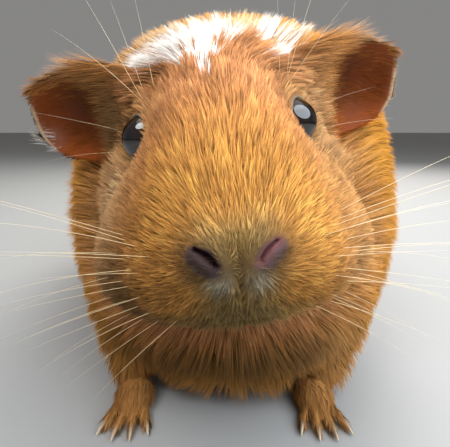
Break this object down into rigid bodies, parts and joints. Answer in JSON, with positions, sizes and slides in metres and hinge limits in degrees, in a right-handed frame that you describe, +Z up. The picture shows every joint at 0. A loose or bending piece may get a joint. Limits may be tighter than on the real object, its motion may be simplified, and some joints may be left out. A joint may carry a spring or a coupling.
{
  "type": "guinea pig model",
  "caption": "Life-size still model of a smooth-haired red guinea pig with a white crest, standing with its head lowered and tipped a little to its right.",
  "frame": {"origin": "on the floor, under the middle of the animal's bounding box", "axes": "+Z up, the animal looks along -Y, its left side is +X"},
  "size_m": [0.1308, 0.2624, 0.126],
  "materials": {
    "coat": "short glossy hair, golden red with a white crest on the crown",
    "ear_skin": "thin bare skin, reddish brown",
    "foot_skin": "short red hair over bare soles",
    "eye": "wet, almost black",
    "claw": "dull horn"
  },
  "bodies": {
    "root": {"trunk": "coat", "neck": "coat", "head": "coat", "foreleg_l": "coat", "foreleg_r": "coat", "hindleg_l": "coat", "hindleg_r": "coat", "forepaw_l": "foot_skin", "forepaw_r": "foot_skin", "hindpaw_l": "foot_skin", "hindpaw_r": "foot_skin", "ear_l": "ear_skin", "ear_r": "ear_skin", "eye_l": "eye", "eye_r": "eye", "claw_fore_l_1": "claw", "claw_fore_l_2": "claw", "claw_fore_l_3": "claw", "claw_fore_l_4": "claw", "claw_fore_r_1": "claw", "claw_fore_r_2": "claw", "claw_fore_r_3": "claw", "claw_fore_r_4": "claw", "claw_hind_l_1": "claw", "claw_hind_l_2": "claw", "claw_hind_l_3": "claw", "claw_hind_r_1": "claw", "claw_hind_r_2": "claw", "claw_hind_r_3": "claw"}
  },
  "joints": []
}
